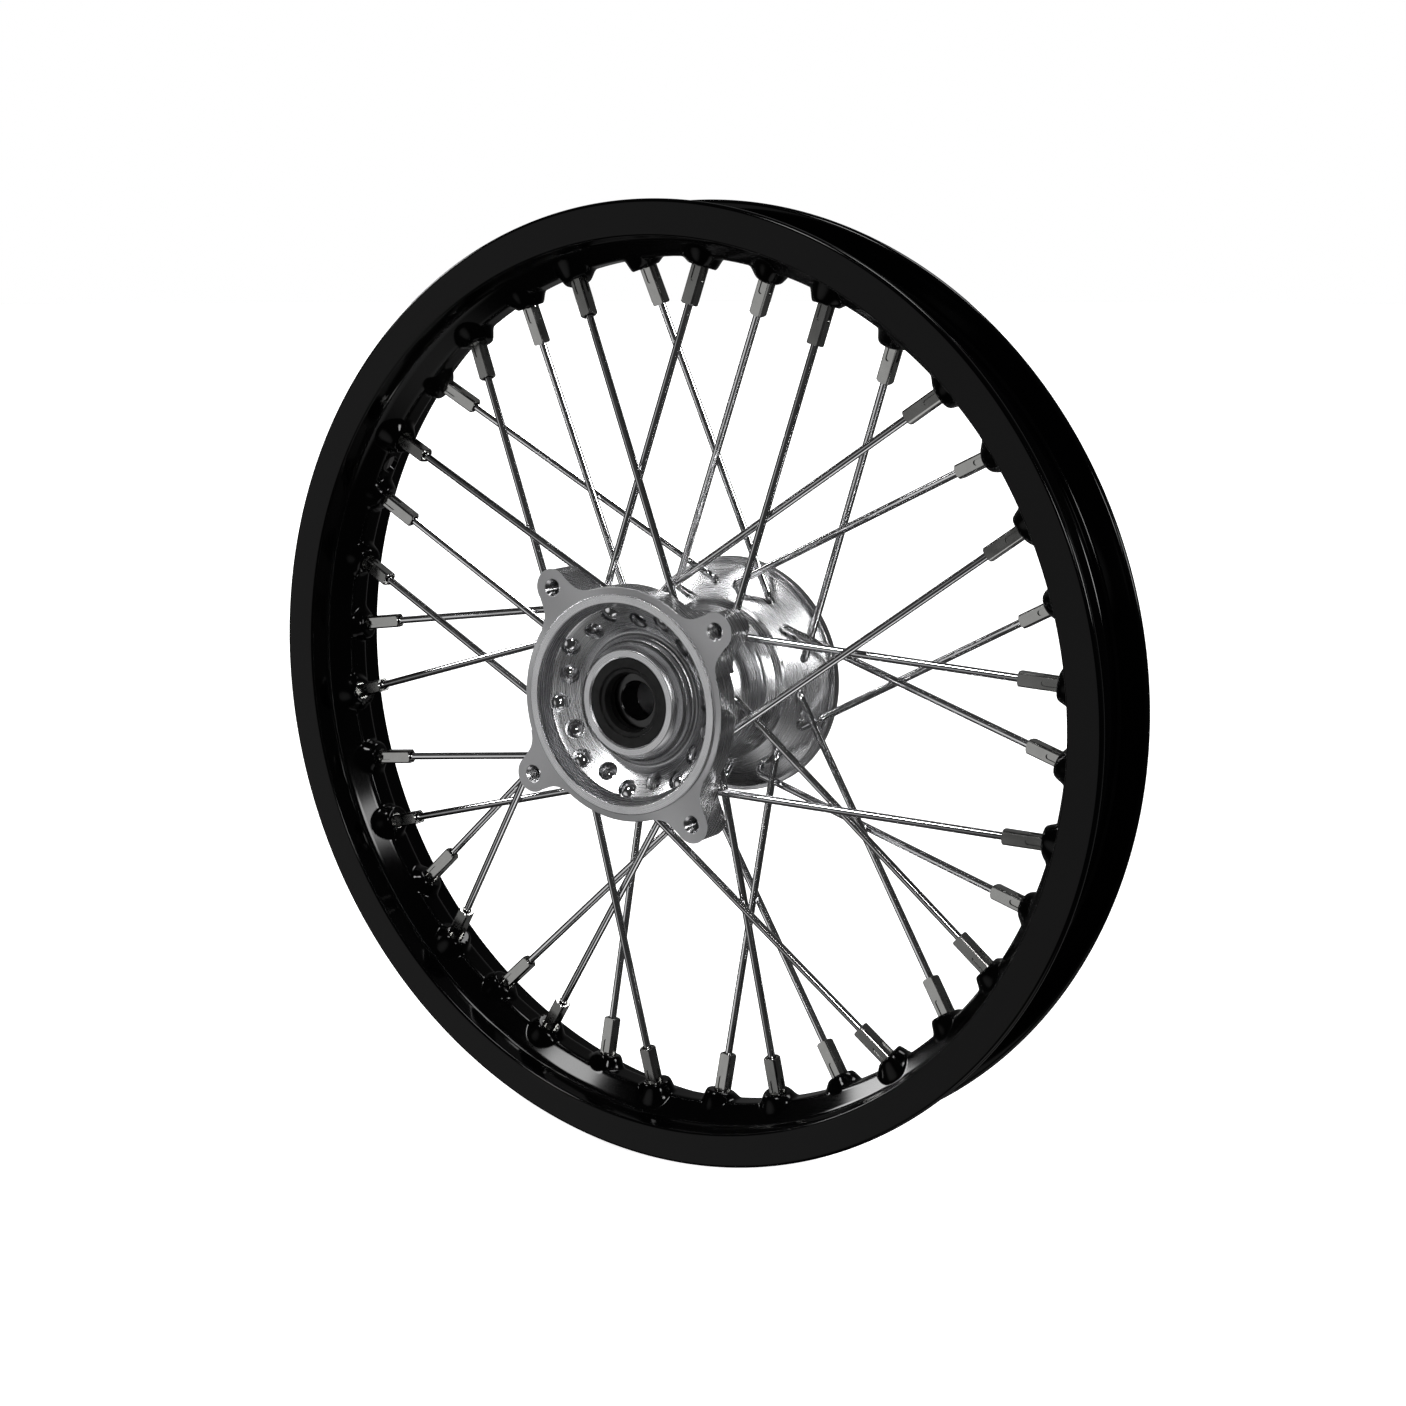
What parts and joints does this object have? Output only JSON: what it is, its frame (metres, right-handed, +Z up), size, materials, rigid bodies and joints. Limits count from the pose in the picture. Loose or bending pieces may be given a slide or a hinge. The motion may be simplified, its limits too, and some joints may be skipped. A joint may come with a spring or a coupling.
{
  "type": "spoked motorcycle wheel",
  "caption": "Spoked small-motorcycle front wheel: black drop-centre rim, crossed steel spokes and a polished hub with brake-disc ears, on sealed ball bearings.",
  "frame": {"origin": "the wheel's centre: on the axle's line, midway between the rim's flanges", "axes": "+Y along the axle, away from the brake-disc side; +Z up; +X towards the right as seen from the brake-disc side"},
  "size_m": [0.38, 0.0839, 0.38],
  "materials": {
    "black_anodised": "glossy",
    "polished_hub": "polished",
    "plain_aluminium": "satin",
    "bearing_steel": "polished",
    "ball_steel": "polished",
    "cage_steel": "satin",
    "seal_rubber": "satin",
    "spring_steel": "satin",
    "spoke_steel": "polished",
    "nipple_nickel": "polished"
  },
  "bodies": {
    "axle_core": {"near_bearing_inner_race": "bearing_steel", "far_bearing_inner_race": "bearing_steel", "distance_tube": "plain_aluminium"},
    "wheel": {"rim": "black_anodised", "hub_shell": "polished_hub", "near_bearing_outer_race": "bearing_steel", "near_bearing_seals": "seal_rubber", "near_dust_seal": "seal_rubber", "near_seal_spring": "spring_steel", "far_bearing_outer_race": "bearing_steel", "far_bearing_seals": "seal_rubber", "far_dust_seal": "seal_rubber", "far_seal_spring": "spring_steel", "spoke_near_outer_1": "spoke_steel", "spoke_near_outer_2": "spoke_steel", "spoke_near_outer_3": "spoke_steel", "spoke_near_outer_4": "spoke_steel", "spoke_near_outer_5": "spoke_steel", "spoke_near_outer_6": "spoke_steel", "spoke_near_outer_7": "spoke_steel", "spoke_near_outer_8": "spoke_steel", "spoke_near_outer_9": "spoke_steel", "nipples_near_outer": "nipple_nickel", "spoke_far_outer_1": "spoke_steel", "spoke_far_outer_2": "spoke_steel", "spoke_far_outer_3": "spoke_steel", "spoke_far_outer_4": "spoke_steel", "spoke_far_outer_5": "spoke_steel", "spoke_far_outer_6": "spoke_steel", "spoke_far_outer_7": "spoke_steel", "spoke_far_outer_8": "spoke_steel", "spoke_far_outer_9": "spoke_steel", "nipples_far_outer": "nipple_nickel", "spoke_near_inner_1": "spoke_steel", "spoke_near_inner_2": "spoke_steel", "spoke_near_inner_3": "spoke_steel", "spoke_near_inner_4": "spoke_steel", "spoke_near_inner_5": "spoke_steel", "spoke_near_inner_6": "spoke_steel", "spoke_near_inner_7": "spoke_steel", "spoke_near_inner_8": "spoke_steel", "spoke_near_inner_9": "spoke_steel", "nipples_near_inner": "nipple_nickel", "spoke_far_inner_1": "spoke_steel", "spoke_far_inner_2": "spoke_steel", "spoke_far_inner_3": "spoke_steel", "spoke_far_inner_4": "spoke_steel", "spoke_far_inner_5": "spoke_steel", "spoke_far_inner_6": "spoke_steel", "spoke_far_inner_7": "spoke_steel", "spoke_far_inner_8": "spoke_steel", "spoke_far_inner_9": "spoke_steel", "nipples_far_inner": "nipple_nickel"},
    "near_cage": {"near_bearing_cage": "cage_steel", "near_bearing_balls": "ball_steel"},
    "far_cage": {"far_bearing_cage": "cage_steel", "far_bearing_balls": "ball_steel"}
  },
  "joints": [
    {"name": "wheel_spin", "type": "hinge", "parent": "axle_core", "child": "wheel", "pos_m": [0, 0, 0], "axis": [0, 1, 0], "continuous": true},
    {"name": "near_cage_spin", "type": "hinge", "parent": "axle_core", "child": "near_cage", "pos_m": [0, -0.0251, 0], "axis": [0, 1, 0], "continuous": true},
    {"name": "far_cage_spin", "type": "hinge", "parent": "axle_core", "child": "far_cage", "pos_m": [0, 0.0251, 0], "axis": [0, 1, 0], "continuous": true}
  ],
  "couplings": [
    {"joint": "near_cage_spin", "follows": "wheel_spin", "ratio": 0.6176},
    {"joint": "far_cage_spin", "follows": "wheel_spin", "ratio": 0.6176}
  ]
}
